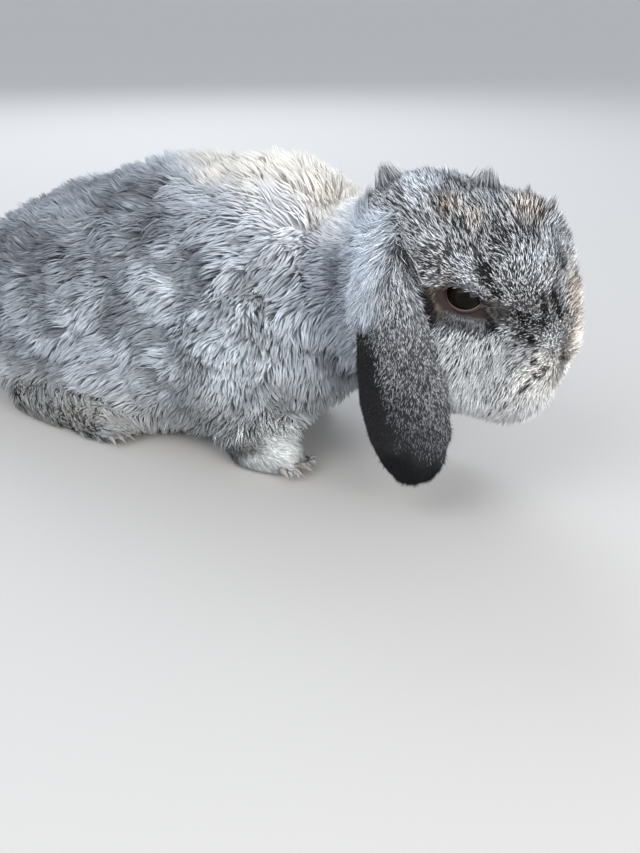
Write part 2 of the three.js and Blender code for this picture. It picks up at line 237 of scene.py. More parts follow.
def refine(piece, chosen):
    """Splits each chosen face in four."""
    bpy.ops.object.select_all(action="DESELECT")
    piece.select_set(True)
    bpy.context.view_layer.objects.active = piece
    bpy.context.tool_settings.mesh_select_mode = (False, False, True)
    bpy.ops.object.mode_set(mode="EDIT")
    bpy.ops.mesh.select_all(action="DESELECT")
    bpy.ops.object.mode_set(mode="OBJECT")
    piece.data.polygons.foreach_set("select", chosen)
    bpy.ops.object.mode_set(mode="EDIT")
    bpy.ops.mesh.subdivide(number_cuts=1, smoothness=0)
    bpy.ops.object.mode_set(mode="OBJECT")


def face_middles(piece):
    middles = np.empty(3 * len(piece.data.polygons), np.float32)
    piece.data.polygons.foreach_get("center", middles)
    return middles.reshape(-1, 3).astype(float) * 1000


# The face is worked finer: lids that hug each eye, the brow, the nose with its slit nostrils, the
# cleft lip over the mouth, and the pads that carry the whiskers. y is measured from the middle.

EYE_RADIUS = 8.5
EYE_IN_HEAD = in_head(1000 * np.array(sum(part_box("eye_left"), Vector()) / 2))
LID_MIDDLE = np.array([-0.4, 0.35])
LID_SLANT = np.radians(22)
LID_LONG = 7.9
LID_HIGH = [5.6, 3.6]
NOSTRIL = [(49.5, 1.6, 4.4), (48, 4.6, 6.2), (45.5, 7.2, 9.6)]
PHILTRUM = [(50, 0, 5), (50, 0, -8)]
NOSE_RIM = [(51, 0, 3), (50, 4, 4.5), (48.8, 8.6, 7.3)]
MOUTH = [(50, 0, -8), (47, 6, -11), (43, 12, -14.5), (36, 16.5, -17)]
NOSE_WING = (47.6, 10, 8.2)
FACE_GROOVES = [(NOSTRIL, 1.8, 1.0), (PHILTRUM, 1.2, 0.9), (MOUTH, 2.2, 1.3)]
FACE_SWELLS = [
    ((49, 0, 7), (5, 6, 5), 1.6),  # nose
    ((49, 8.6, 7.3), (3, 2.6, 2.6), 1.2),  # its wings
    ((46, 8, -3), (9, 6.5, 7.5), 2.8),  # whisker pads
    ((45, 0, -18), (9, 13, 12), 5.2),  # chin
    ((-3, 30, 21), (10, 8, 5), 1.6),  # brows
    ((-5, 0, 46), (11, 17, 9), 3.0),  # crown
    ((13, 0, 48), (8, 16, 8), -2.6),  # dip before the crown
    ((-54, 0, 22), (14, 22, 10), -1.5),  # back of the skull
    ((26, 0, 40), (10, 15, 10), -2.2),  # top of the bridge
    ((18, 27, 8), (7, 6, 4), -1.0),  # tear corner
    ((31, 21, -3), (8, 7, 8), -1.3),  # behind the pads
]
CROWN_RELIEF = 3.2
LID_PROUD, LID_SINK = 0.9, 1.5
SOCKET_GAP, SOCKET_DEEP = 0.2, 6
FACE_SIDE = 18


def lid_share(q):
    """Distance from the middle of the eye's opening, as a share of the way to the lids' edge."""
    across, high = (q[:, [0, 2]] - EYE_IN_HEAD[[0, 2]] - LID_MIDDLE).T
    along = across * np.cos(LID_SLANT) + high * np.sin(LID_SLANT)
    over = high * np.cos(LID_SLANT) - across * np.sin(LID_SLANT)
    return np.hypot(along / LID_LONG, over / np.where(over > 0, LID_HIGH[1], LID_HIGH[0]))


def off_line(q, line):
    """Distance from each place to a line through a few points."""
    line = np.array(line, float)
    best = np.full(len(q), np.inf)
    for start, end in zip(line, line[1:]):
        way = end - start
        share = np.clip((q - start) @ way / (way @ way), 0, 1)
        best = np.minimum(best, np.linalg.norm(q - start - share[:, None] * way, axis=1))
    return best


def ball_side(q, least=0.0):
    """How far out the eye's ball reaches beside each place."""
    flat = np.hypot(*(q[:, [0, 2]] - EYE_IN_HEAD[[0, 2]]).T)
    return EYE_IN_HEAD[1] + np.sqrt(np.maximum(EYE_RADIUS**2 - flat**2, least))


def swell(q, middle, radii, height):
    return height * np.exp(-(((q - middle) / radii) ** 2).sum(1))


middles = in_head(face_middles(hide))
refine(hide, (middles[:, 0] > -22) & (np.linalg.norm(middles, axis=1) < 75))
middles = one_side(face_middles(hide))
by_eye = (lid_share(middles) < 2.0) & (middles[:, 1] > 20)
by_nose = (middles[:, 0] > 34) & (middles[:, 1] < 18) & (np.abs(middles[:, 2] + 3) < 17)
refine(hide, by_eye | by_nose)

edges = read_edges(hide)
places = spread(read_places(hide), edges, 2)
write_places(hide, places)
q = in_head(places)
side = np.sign(q[:, 1])
q[:, 1] *= side
normals = read_normals(hide) @ HEAD_TURN
normals[:, 1] *= side
rise = sum(swell(q, *spot) for spot in FACE_SWELLS)
rise -= sum(deep * np.exp(-((off_line(q, line) / wide) ** 2)) for line, deep, wide in FACE_GROOVES)
crown = eased(22, 34, q[:, 2]) * eased(26, 8, q[:, 0]) * eased(-66, -50, q[:, 0])
rise += CROWN_RELIEF * crown * (cloud(places, 7, 21.0) - 0.5)
q += rise[:, None] * normals
share = lid_share(q)
near_eye = (share < 2.4) & (q[:, 1] > FACE_SIDE)
ball = ball_side(q)
lid = np.maximum(ball + LID_PROUD, q[:, 1] - LID_SINK)
hug = near_eye * eased(2.1, 1.05, share)
q[:, 1] += hug * (lid - q[:, 1])
inside = near_eye & (share < 1)
q[inside, 1] = (ball - SOCKET_GAP - SOCKET_DEEP * eased(1.0, 0.75, share))[inside]
q[:, 1] *= side
places = from_head(q)
write_places(hide, places)


def ear_frame(places):
    """Places by an ear: ahead across the leaf, out from the head, and up, from the head's middle."""
    level = np.array([
        [np.cos(HEAD_YAW), -np.sin(HEAD_YAW), 0], [np.sin(HEAD_YAW), np.cos(HEAD_YAW), 0], [0, 0, 1],
    ])
    return (places - HEAD_MIDDLE) @ level


def finish_shape(piece):
    piece.data.polygons.foreach_set("use_smooth", np.ones(len(piece.data.polygons), bool))
    piece.data.update()


ears = copy_of(["ear_right", "ear_left"], "ears")
apply(ears, "REMESH", mode="VOXEL", voxel_size=EAR_GRAIN)
ear_edges = read_edges(ears)
ear_places = read_places(ears)
soft = spread(ear_places, ear_edges, 22)
ear_places = soft + spread(ear_places - soft, ear_edges, 15)
write_places(ears, ear_places)
write_places(ears, spread(ear_places - read_normals(ears) * EAR_COAT, ear_edges, 2))
flesh_count = len(hide.data.vertices)
depth = coat_depth(hide)
join([hide, ears])
finish_shape(hide)


def principled(name):
    """A new material with its nodes and main shader."""
    material = bpy.data.materials.new(name)
    material.use_nodes = True
    nodes = material.node_tree.nodes
    return material, nodes, nodes["Principled BSDF"]


def add_node(nodes, kind, **settings):
    node = nodes.new(kind)
    for key, value in settings.items():
        setattr(node, key, value)
    return node


def set_inputs(node, **values):
    """Sets a node's inputs by name, with underscores for the spaces."""
    for key, value in values.items():
        node.inputs[key.replace("_", " ")].default_value = value


def wire(source, output, target, socket):
    source.id_data.links.new(source.outputs[output], target.inputs[socket])


def ramp_of(nodes, stops):
    ramp = nodes.new("ShaderNodeValToRGB")
    elements = ramp.color_ramp.elements
    while len(elements) < len(stops):
        elements.new(0.5)
    for element, (position, color) in zip(elements, stops):
        element.position = position
        element.color = (*color, 1)
    return ramp


def add_values(piece, name, values):
    """Stores one value or one colour for each point of the piece."""
    if values.ndim == 1:
        layer = piece.data.attributes.new(name, "FLOAT", "POINT")
        layer.data.foreach_set("value", values.astype(np.float32))
    else:
        colors = np.concatenate([values, np.ones((len(values), 1))], 1)
        layer = piece.data.color_attributes.new(name, "FLOAT_COLOR", "POINT")
        layer.data.foreach_set("color", colors.astype(np.float32).ravel())


# The markings, the same on the hide and on the coat over it: blue-silver with darker clumps on the
# body, cream over the withers and pale below, a grizzled head that is darkest before the eyes,
# near-black ear tips, and a long pale ruff behind the ears. Light and shade are painted in as well:
# sunlight on the withers, flank and face, and shade in the body's valleys, the neck's hollow, the
# face's creases, under the brow and chin, and low on the legs and feet.

ZONES = ["head", "neck", "trunk", "tail", "foreleg", "forepaw", "thigh", "hindfoot", "ear"]
HEAD, NECK, TRUNK, TAIL, FORELEG, FOREPAW, THIGH, HINDFOOT, EAR = range(len(ZONES))
SILVER = np.array([0.40, 0.44, 0.50])
SLATE = np.array([0.12, 0.13, 0.15])
CREAM = np.array([0.88, 0.84, 0.77])
PALE = np.array([0.42, 0.44, 0.45])
MUZZLE = np.array([0.66, 0.65, 0.62])
RUFF = np.array([0.62, 0.70, 0.80])
LIT_FLANK = np.array([0.50, 0.55, 0.61])
HALO = np.array([0.43, 0.47, 0.53])
DUSK = np.array([0.25, 0.275, 0.33])
TAN = np.array([0.31, 0.24, 0.175])
BROWN = np.array([0.12, 0.085, 0.068])
INK = np.array([0.012, 0.013, 0.015])
GRIZZLE = np.array([0.165, 0.168, 0.175])
WRIST_SHADE = np.array([0.14, 0.142, 0.14])
PAW = np.array([0.66, 0.7, 0.71])
LID_SKIN = np.array([0.055, 0.040, 0.038])
TEAR_ROOT = [(3.5, 33, 4.6), (10.1, 28.5, 7.2)]
TEAR = [(4.6, 32, 9.4), (10.1, 28.5, 7.8), (15.6, 26, 3.4)]
CHEEK_AT = [-30, 0, 17, 35, 48]
CHEEK_UP = [-16, -9, 2.5, 8, 9]
# Spots on the head as (middle, radii), and creases and partings of the coat as (line, width), in its own
# frame.
# The shade spots and the creases carry painted shade, the light spots painted light.
DARK_SPOTS = [
    ((25, 25, 14), (7, 9, 5)), ((33, 21, 8.5), (4, 5, 1.8)), ((34, 16, 24), (2, 4, 3.4)),
    ((31, 20.7, 19), (2.2, 4, 2.2)), ((-0.5, 31, 25), (3, 7, 4)), ((16, 29, 5), (2, 4, 1.6)),
    ((-34, 26, 29), (2.6, 6, 3)), ((-21, 29, 28.5), (5, 6, 2.6)), ((-27, 28, 29), (3, 6, 2)),
    ((-12, 20, 41), (5, 7, 2.4)),
]
TAN_SPOTS = [
    ((-31, 24, 31.5), (5, 7, 4.4)), ((-25, 22, 33), (5, 7, 3.8)), ((-6, 8, 46), (6, 7, 5)),
    ((-17, 25, 34), (3.4, 7, 3.4)),
]
SHADE_SPOTS = [((-23, 38, 12), (13, 9, 10)), ((9, 36, 0), (12, 7, 5)), ((-8, 38, -2), (8, 6, 7))]
PAINTED_LIGHT_SPOTS = [
    ((15, 12, 41), (10, 11, 8)), ((41, 14.5, 14), (6, 6, 6)), ((-4, 35, 17.5), (6, 6, 3)),
    ((-48, 13, 28), (9, 12, 6)),
]
BROWN_SPOTS = [
    ((10.5, 31, 12.5), (3.5, 6, 3.5)), ((-12, 37, 11), (3, 6, 4)), ((28, 21.5, 24), (4, 5, 4)),
    ((20, 18.6, 36), (4, 5, 4)),
]
SHADED_CREASES = [
    ([(-35.3, 40.3, 13.6), (-27.9, 41.7, 11.2), (-22.4, 41.5, 7.8), (-16.9, 40.4, 4.1), (-10.8, 38.4, -0.2),
      (-4.6, 39.2, -4)], 2.1),
    ([(-2.5, 31.9, 26), (3.4, 33.4, 20.3), (8.7, 32.1, 19)], 2.7),
    ([(29.2, 18.2, 28.2), (35.4, 15.5, 23.1)], 1.8),
    ([(26, 22.4, 25.5), (30, 20.8, 21.5)], 1.5),
    ([(31.5, 20.5, 18.8), (33.5, 19.8, 16.5)], 1.1),
    ([(23, 26.6, 16.2), (24.5, 26, 14.6)], 1.1),
    ([(30.2, 22.9, 9.1), (35.1, 20.3, 8.8)], 1.6),
    ([(15.5, 31.4, 6.9), (17.5, 30.6, 6.2)], 1.3),
]
PAD_SPOTS = [
    ((38, 16, 1), (1.4, 3, 1.2)), ((43, 14.5, 0), (1.3, 3, 1.3)), ((43, 15, -4), (1.8, 3, 1.2)),
    ((42, 16, -10.5), (1.2, 3, 2.6)),
]
# Painted shade in valleys of the body's coat: darker spots on its right side, over the haunch and along the
# flank.
SHADE_VALLEYS = [((-65, -68, 70), (14, 30, 9)), ((12, -62, 84), (5, 20, 4)), ((44, -58, 96), (5, 20, 8))]
SADDLE_AT = [-14, 0, 13, 27, 50, 75, 100]
SADDLE_REACH = [2, 22, 36, 34, 35, 34, 34]
BODY_WHITE, BODY_BLACK, EAR_BLACK = 0.26, 0.12, 0.3


def in_crease_shade(places):
    """1 in the creases and partings of the face's coat, where shade is painted, and 0 away from them."""
    near = one_side(places)
    return np.max([eased(wide, 0.45 * wide, off_line(near, line)) for line, wide in SHADED_CREASES], axis=0)


def in_spots(places, spots):
    """How much each place lies in a few soft-edged spots."""
    return sum(swell(places, *spot, 1.0) for spot in spots)


def blend(start, end, share):
    return start + np.asarray(share).reshape(-1, 1) * (end - start)


def body_markings(places):
    """A row of colours for each zone of the body, and where the cream over the withers with its painted
    sunlight and the painted shade behind the head lie.
    """
    x, y, z = places.T
    clumps = 0.4 * cloud(places, 17, 23.0) + 0.35 * cloud(places, 8, 27.0) + 0.25 * cloud(places, 5, 9.0)
    mottle = eased(0.36, 0.62, clumps)
    body = blend(SLATE, SILVER, 0.15 + 0.85 * mottle)
    body = blend(body, SLATE, 0.5 * eased(62, 90, z) * eased(14, -16, x))
    # Painted light: the middle of the flank is paler where light falls on it.
    flank = eased(-14, 6, x) * eased(110, 88, z) * eased(92, 72, x)
    body = blend(body, LIT_FLANK * (0.62 + 0.55 * mottle)[:, None], 0.65 * flank)
    low = eased(70, 30, z) * eased(-20, 10, x) * eased(0.35, 0.6, cloud(places, 15, 6.0))
    body = blend(body, PALE, 0.5 * low)
    # Painted shade in the body's valleys.
    body = body * (1 - 0.5 * np.minimum(in_spots(places, SHADE_VALLEYS), 1))[:, None]

    from_spine = np.hypot(y - 10, z - 138)
    from_spine = from_spine + 12 * (cloud(places, 12, 3.0) - 0.5) + 6 * (cloud(places, 5, 8.0) - 0.5)
    past = from_spine - np.interp(x, SADDLE_AT, SADDLE_REACH)
    # The cream saddle is partly the coat's pale nape and withers and partly painted sunlight, which also
    # brightens it and its halo towards the front.
    sunlit_saddle = eased(13, -13, past)
    body = blend(body, HALO * (1 + eased(25, 65, x)[:, None] * [0.5, 0.42, 0.35]), 0.9 * eased(28, 8, past))
    body = blend(body, CREAM * (0.7 + 0.24 * eased(10, 60, x))[:, None], sunlit_saddle)
    body = blend(body, PALE, 0.75 * eased(46, 14, z))
    # Painted shade in the hollow of the neck behind the head.
    hollow_shade = np.exp(-(((x - 103) / 5) ** 2 + ((np.abs(y) - 36) / 14) ** 2 + ((z - 105) / 14) ** 2))

    rows = [body] * len(ZONES)
    rows[NECK] = blend(body, DUSK, 0.8 * eased(60, 85, z) * eased(124, 108, z) * (1 - sunlit_saddle))
    # Painted shade: the foreleg darkens towards the ground, and the paw is dark at the wrist, pale at the
    # toes.
    rows[FORELEG] = body * (1 - 0.45 * eased(44, 24, z))[:, None]
    toe = eased(66, 79, x + 38 * (y > 0) + 14 * eased(14, 4, z)) * eased(34, 18, z)
    rows[FOREPAW] = blend(WRIST_SHADE, PAW * 0.88, toe) * (0.75 + 0.5 * cloud(places, 6))[:, None]
    # Painted shade: the hind foot's pale and cream are dimmed where it lies under the belly.
    cream = 0.5 * eased(0.35, 0.7, cloud(places, 16, 6.0))
    rows[HINDFOOT] = blend(PALE * (0.38 + 0.26 * cloud(places, 8))[:, None], CREAM * 0.27, cream)
    rows[TAIL] = blend(body, CREAM * 0.9, eased(10, -10, z - 66 + 0.5 * (x + 185)))
    return rows, sunlit_saddle, hollow_shade


def face_markings(places):
    """The face's colours, and what it adds to the shares of white-tipped and black-tipped hairs."""
    near = one_side(places)
    ahead, left, up = near.T
    light = eased(0.35, 0.7, cloud(places, 8, 5.0))
    face = blend(GRIZZLE, SILVER, 0.45 * light)
    top = eased(14, 34, up) * eased(24, 0, ahead)
    face = face * (1 - 0.52 * top)[:, None]
    dim = np.minimum(in_spots(near, SHADE_SPOTS), 1)
    face = face * (1 - 0.45 * dim)[:, None]
    # Painted light: pale patches where light falls on the face.
    lit = np.minimum(in_spots(near, PAINTED_LIGHT_SPOTS), 1)
    face = blend(face, SILVER * 1.35, 0.75 * lit)
    # The front of the muzzle is pale coat, made brighter still as painted light.
    front = eased(31, 39, ahead) * eased(38, 24, up) * eased(22, 15, left)
    face = blend(face, PALE * (1.1 + 0.75 * cloud(places, 3, 16.0))[:, None], 0.85 * front)
    # A warm band along the bridge of the nose: partly tan coat, partly painted sunlight.
    tan_and_sunlit = eased(14, 5, left) * eased(10, 36, ahead) * eased(-14, 0, up)
    face = blend(face, TAN * 2.3, 0.5 * tan_and_sunlit)
    face = blend(face, TAN * 1.1, np.minimum(1.1 * in_spots(near, TAN_SPOTS), 0.85))
    face = blend(face, TAN * 0.6, np.minimum(0.8 * in_spots(near, BROWN_SPOTS), 0.7))
    dark = np.minimum(in_spots(near, DARK_SPOTS), 1) * (0.6 + 0.8 * cloud(places, 4, 12.0))
    face = face * (1 - 0.7 * np.clip(dark, 0, 1))[:, None]

    line = up - np.interp(ahead, CHEEK_AT, CHEEK_UP) + 3 * (cloud(places, 4, 15.0) - 0.5)
    cheek = eased(1.6, -1.6, line) * eased(-40, -18, ahead)
    face = blend(face, PALE * (0.64 * cloud(places, 3, 14.0))[:, None], 0.95 * cheek)
    lips = eased(33, 41, ahead) * eased(11, 3, up) * (1 - 0.5 * eased(-10, -22, up))
    # Painted shade: the muzzle's colour darkens towards the chin.
    chin_shade = 1 - 0.48 * eased(-6, -18, up)
    face = blend(face, MUZZLE * ((0.74 + 0.45 * cloud(places, 3, 18.0)) * chin_shade)[:, None], 0.9 * lips)
    ruff = eased(-30, -42, ahead) * eased(13, -2, up)
    face = blend(face, RUFF, 0.9 * ruff)

    share = lid_share(near)
    lid_line = EYE_IN_HEAD[2] + LID_MIDDLE[1] + np.tan(LID_SLANT) * (ahead - EYE_IN_HEAD[0])
    lower = eased(3, 0, up - lid_line)
    ring = eased(2.9, 1.8, share) * (left > FACE_SIDE) * lower
    behind = eased(2, -4, ahead - EYE_IN_HEAD[0])[:, None]
    ring_color = TAN * 0.36 * behind + GRIZZLE * 0.75 * (1 - behind)
    face = blend(face, ring_color, (0.85 - 0.35 * (1 - behind[:, 0])) * ring)
    # Painted shade under the brow: a darker band above the eye.
    face = blend(face, GRIZZLE * 0.6, 0.4 * eased(1.8, 1.2, share) * (left > FACE_SIDE) * (1 - lower))

    # Beside the nose the coat is pale and pinkish, brightened further as painted light where the muzzle turns
    # away.
    face = blend(face, MUZZLE * [1.1, 1.04, 1.02], swell(near, (50, 7, 3), (5, 8, 12), 0.95))
    nose = np.maximum(0.2 * eased(2.2, 1.0, off_line(near, NOSE_RIM)), swell(near, NOSE_WING, (3, 3, 3), 1.0))
    cleft = 0.6 * eased(1.5, 0.5, off_line(near, PHILTRUM))
    seam = np.maximum(cleft, 0.45 * eased(1.6, 0.6, off_line(near, MOUTH)))
    face = blend(face, BROWN * 1.05, 0.97 * nose)
    face = blend(face, BROWN * 1.6, 0.45 * seam)
    pads = in_spots(near, PAD_SPOTS)
    face = blend(face, INK, np.minimum(pads, 0.9))
    band_wide = 1.24 + 0.22 * eased(1, -4, up - EYE_IN_HEAD[2])
    corner = np.maximum(eased(2.4, 1.4, off_line(near, TEAR)), eased(2.2, 1.2, off_line(near, TEAR_ROOT)))
    bare = np.maximum(lower * eased(0.12, -0.1, share - band_wide), corner) * (left > 15)
    face = blend(face, LID_SKIN, bare)

    marks = np.clip(nose + 0.6 * seam + pads + 0.8 * ring, 0, 1)
    pale = np.maximum(cheek, front)
    # Painted light (lit) adds white tips and painted shade (dim) takes them away.
    more_white = 0.2 * pale + 0.04 * (1 - pale) + 0.08 * light + 0.14 * lit
    more_white = more_white - 0.04 * top - 0.1 * dark - 0.1 * dim - 0.6 * marks
    more_black = 0.22 * (1 - pale) + 0.1 * top + 0.2 * dark - 0.02 * pale + 0.9 * pads
    return face, more_white, more_black


def ear_markings(places):
    """The ears' colours, and what they add to the share of white-tipped hairs."""
    across, _, height = ear_frame(places).T
    ear = blend(GRIZZLE * [0.46, 0.47, 0.5], SILVER, 0.36 * eased(-18, 16, height))
    ear = blend(ear, INK * 2.5, 0.88 * eased(-22, -54, height + 0.8 * across))
    rear = across + 30.6 + 0.2 * height + 7 * (cloud(places, 5, 4.0) - 0.5)
    band = eased(4, -5, rear) * eased(4, -16, height)
    ear = blend(ear, INK * [2.3, 2.1, 2.0], 0.9 * band)
    tip = eased(-59, -73, height + 0.2 * across + 10 * (cloud(places, 6, 2.0) - 0.5))
    ear = blend(ear, INK * 0.8, tip)
    mane = eased(-22, -31, across) * eased(-7, 5, height + 12 * (cloud(places, 4, 19.0) - 0.5))
    ear = blend(ear, RUFF, 0.9 * mane)
    more_white = 0.14 + 0.12 * eased(-10, 2, across) - 0.42 * tip - 0.4 * band * (1 - mane)
    return ear, more_white - 0.22 * eased(-36, -64, height + 0.6 * across)


def markings(places, zones):
    """The coat's colour at each place, and the shares of white-tipped and black-tipped hairs."""
    rows, sunlit_saddle, hollow_shade = body_markings(places)
    rows[HEAD], head_white, head_black = face_markings(places)
    rows[EAR], ear_white = ear_markings(places)
    on_head, on_ear = zones[:, HEAD], zones[:, EAR]
    white = BODY_WHITE + on_head * head_white + on_ear * ear_white
    black = BODY_BLACK + on_head * head_black + on_ear * EAR_BLACK
    black = black * (1 - 0.9 * sunlit_saddle * (1 - on_ear) * (1 - on_head)) * (1 - 0.8 * zones[:, HINDFOOT])
    color = sum(zones[:, [n]] * row for n, row in enumerate(rows))
    return color * (1 - 0.65 * hollow_shade * (1 - on_ear))[:, None], np.clip(white, 0, 1), np.clip(black, 0, 1)


NOSE_FRONT = np.array([60, 0, 8])


def ways_of(ahead, left, up):
    return np.stack(np.broadcast_arrays(ahead, left, up), 1)


def lie_of_coat(places, part, is_ear):
    """The way the hairs point at each place of the hide, before it is laid on the surface."""
    ahead, left, up = in_head(places).T
    side = np.sign(left)
    top = eased(-6, 18, up + 0.15 * np.abs(ahead))
    back = unit(np.stack([ahead, left, up], 1) - NOSE_FRONT)
    down = ways_of(-0.05, 0.1 * side, -1)
    on_head = blend(blend(down, back, top), back, eased(30, 46, ahead))
    around = one_side(places)
    from_eye = around - EYE_IN_HEAD - [LID_MIDDLE[0], 0, LID_MIDDLE[1]]
    away = unit(from_eye * [1 / LID_LONG**2, 0, 1 / (LID_HIGH[0] * LID_HIGH[1])])
    by_eye = eased(2.7, 1.2, lid_share(around)) * (around[:, 1] > FACE_SIDE)
    by_eye = by_eye * (0.9 - 0.75 * (from_eye[:, 2] > 2))
    on_head = blend(on_head, away, by_eye) @ HEAD_TURN.T
    x, y, z = places.T
    flank = eased(0, 45, np.abs(y)) * 0.75
    on_body = ways_of(-1, 0, -flank)
    ways = {
        "head": on_head,
        "neck": ways_of(-1, 0, -0.9 * eased(130, 90, z)),
        "trunk": blend(on_body, np.array([-0.3, 0, -1]), 0.8 * eased(60, 95, x) * eased(120, 80, z)),
        "tail": [-0.6, 0, 0.8],
        "foreleg": [-0.25, 0, -1],
        "forepaw": [1, 0, -0.25],
        "thigh": ways_of(-1, 0, -0.5 - 0.5 * eased(70, 30, z)),
        "hindfoot": [1, 0, -0.12],
    }
    chosen = np.zeros((len(x), 3))
    for n, kind in enumerate(KINDS):
        way = np.broadcast_to(ways[kind], chosen.shape)
        chosen[part == n] = way[part == n]
    across = ear_frame(places)[:, 0]
    chosen[is_ear] = ways_of(0.14 - 0.25 * eased(0, -14, across), 0, -1)[is_ear]
    return unit(chosen)


places = read_places(hide)
normals = read_normals(hide)
edges = read_edges(hide)
is_ear = np.arange(len(places)) >= flesh_count
part = nearest_part(places)
zone_of_part = np.array([ZONES.index(kind) for kind in KINDS])
zones = np.eye(len(ZONES))[np.where(is_ear, EAR, zone_of_part[part])]
zones = np.where(is_ear[:, None], zones, spread(zones, edges, 22))
flow = spread(lie_of_coat(places, part, is_ear), edges, 16)
flow = unit(flow - (flow * normals).sum(1, keepdims=True) * normals)
q = one_side(places)
across, out, height = ear_frame(places).T
ruff_share = zones[:, HEAD] * eased(-34, -46, q[:, 0]) * eased(15, 0, q[:, 2])
ruff_share += zones[:, EAR] * eased(-22, -31, across) * eased(-7, 5, height)
toes = np.zeros(len(places))
for name in FILLERS:
    if name.startswith("claw"):
        claw = 1000 * np.array(sum(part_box(name), Vector()) / 2)
        toes = np.maximum(toes, swell(places, claw, (9, 7, 7), 1.0))
depth = np.resize(depth, len(places)) + swell(q, (-2, 0, 46), (16, 20, 12), 1.5)
depth = np.maximum(depth, 10.5 * ruff_share) + 2.2 * toes
depth += 2.5 * zones[:, TRUNK] * swell(places, (75, 10, 138), (30, 40, 30), 1.0)
ear_depth = 1.2 + 2.6 * eased(-8, 26, height)
by_lips = np.minimum(off_line(q, NOSE_RIM), np.minimum(off_line(q, PHILTRUM), off_line(q, MOUTH)))
thin = 0.4 * np.exp(-((by_lips / 2) ** 2)) + swell(q, NOSE_WING, (4, 4, 4), 0.35)
depth = depth * (1 - zones[:, HEAD] * thin)
depth = np.where(is_ear, ear_depth + 4 * ruff_share, depth)
color, white, black = markings(places, zones)
long_share = zones[:, [NECK, TRUNK, TAIL, FORELEG, THIGH]].sum(1)
add_values(hide, "tint", color * (0.75 + 0.25 * white - 0.3 * black + 0.05 * long_share)[:, None])

skin_fur, nodes, shader = principled("close_fur")
tint = add_node(nodes, "ShaderNodeAttribute", attribute_name="tint")
grain = add_node(nodes, "ShaderNodeTexNoise")
set_inputs(grain, Scale=1400, Detail=4)
spots = add_node(nodes, "ShaderNodeMix", data_type="RGBA", blend_type="OVERLAY")
set_inputs(spots, Factor=0.8)
bump = add_node(nodes, "ShaderNodeBump")
set_inputs(bump, Strength=0.6, Distance=0.0006)
wire(tint, "Color", spots, "A")
wire(grain, "Fac", spots, "B")
wire(spots, "Result", shader, "Base Color")
wire(grain, "Fac", bump, "Height")
wire(bump, "Normal", shader, "Normal")
set_inputs(shader, Roughness=0.85, Specular_IOR_Level=0.1)
hide.data.materials.append(skin_fur)
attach(hide, "root")
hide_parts(*PARTS, "ear_right", "ear_left")

hide.data.calc_loop_triangles()
corner_points = np.empty(3 * len(hide.data.loop_triangles), np.int32)
hide.data.loop_triangles.foreach_get("vertices", corner_points)
corner_points = corner_points.reshape(-1, 3)
hide_tree = BVHTree.FromPolygons(places.tolist(), corner_points.tolist())

# ---- Eyes
# A large, dark, wet ball in each side of the head, held by the lids. It is glass-clear in front,
# where it swells a little over a wide dark-brown iris.

GAZE = unit(np.array([0.22, 1.0, 0.12]))
IRIS_RADIUS = 7.0
CORNEA_RISE = 0.35
SIDES = {"right": -1, "left": 1}

eye_glass, nodes, shader = principled("wet_eye")
offset = add_node(nodes, "ShaderNodeAttribute", attribute_name="off_gaze")
bands = ramp_of(nodes, [
    (0.0, (0.002, 0.002, 0.002)), (0.44, (0.003, 0.0025, 0.002)), (0.55, (0.006, 0.004, 0.003)),
    (0.9, (0.009, 0.0055, 0.004)), (1.0, (0.004, 0.003, 0.002)),
])
streaks = add_node(nodes, "ShaderNodeTexNoise")
set_inputs(streaks, Scale=900, Detail=3)
mix = add_node(nodes, "ShaderNodeMix", data_type="RGBA", blend_type="OVERLAY")
set_inputs(mix, Factor=0.5)
wire(offset, "Fac", bands, "Fac")
wire(bands, "Color", mix, "A")
wire(streaks, "Fac", mix, "B")
wire(mix, "Result", shader, "Base Color")
set_inputs(shader, Roughness=0.12, IOR=1.12, Coat_Weight=1.0, Coat_Roughness=0.03, Coat_IOR=1.16)

for name, side in SIDES.items():
    middle = sum(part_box(f"eye_{name}"), Vector()) / 2
    bpy.ops.mesh.primitive_uv_sphere_add(segments=64, ring_count=40, radius=EYE_RADIUS / 1000)
    eye = bpy.context.object
    eye.location = middle
    eye.name = f"eyeball_{name}"
    gaze = Vector(HEAD_TURN @ (GAZE * [1, side, 1]))
    eye.rotation_euler = gaze.to_track_quat("Z", "Y").to_euler()
    bpy.ops.object.transform_apply(location=True, rotation=True)
    out = read_places(eye) - 1000 * np.array(middle)
    level = out @ np.array(gaze) / EYE_RADIUS
    out *= (1 + CORNEA_RISE / EYE_RADIUS * eased(0.55, 0.95, level))[:, None]
    write_places(eye, out + 1000 * np.array(middle))
    add_values(eye, "off_gaze", np.sqrt(np.maximum(1 - level**2, 0)) * EYE_RADIUS / IRIS_RADIUS + (level < 0))
    eye.data.materials.append(eye_glass)
    finish_shape(eye)
    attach(eye, "root")
    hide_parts(f"eye_{name}")

# ---- Lids
# The moist, dark, fleshy rim of each eye's lids. It hugs the ball, is wider below than above, and
# runs on to the tear corner in front. A painted highlight makes it lighter along its inner edge.

RIM_SHARE = 0.2

lid_flesh, nodes, shader = principled("lid_flesh")
edge = add_node(nodes, "ShaderNodeAttribute", attribute_name="from_ball")
# Painted highlight: the rim's colour is lightest along its inner edge.
flesh_and_highlight = ramp_of(
    nodes, [(0.0, (0.085, 0.062, 0.06)), (0.16, (0.055, 0.039, 0.037)), (0.6, (0.036, 0.025, 0.023))]
)
wire(edge, "Fac", flesh_and_highlight, "Fac")
wire(flesh_and_highlight, "Color", shader, "Base Color")
set_inputs(shader, Roughness=0.5, Coat_Weight=0.15, Coat_Roughness=0.15)

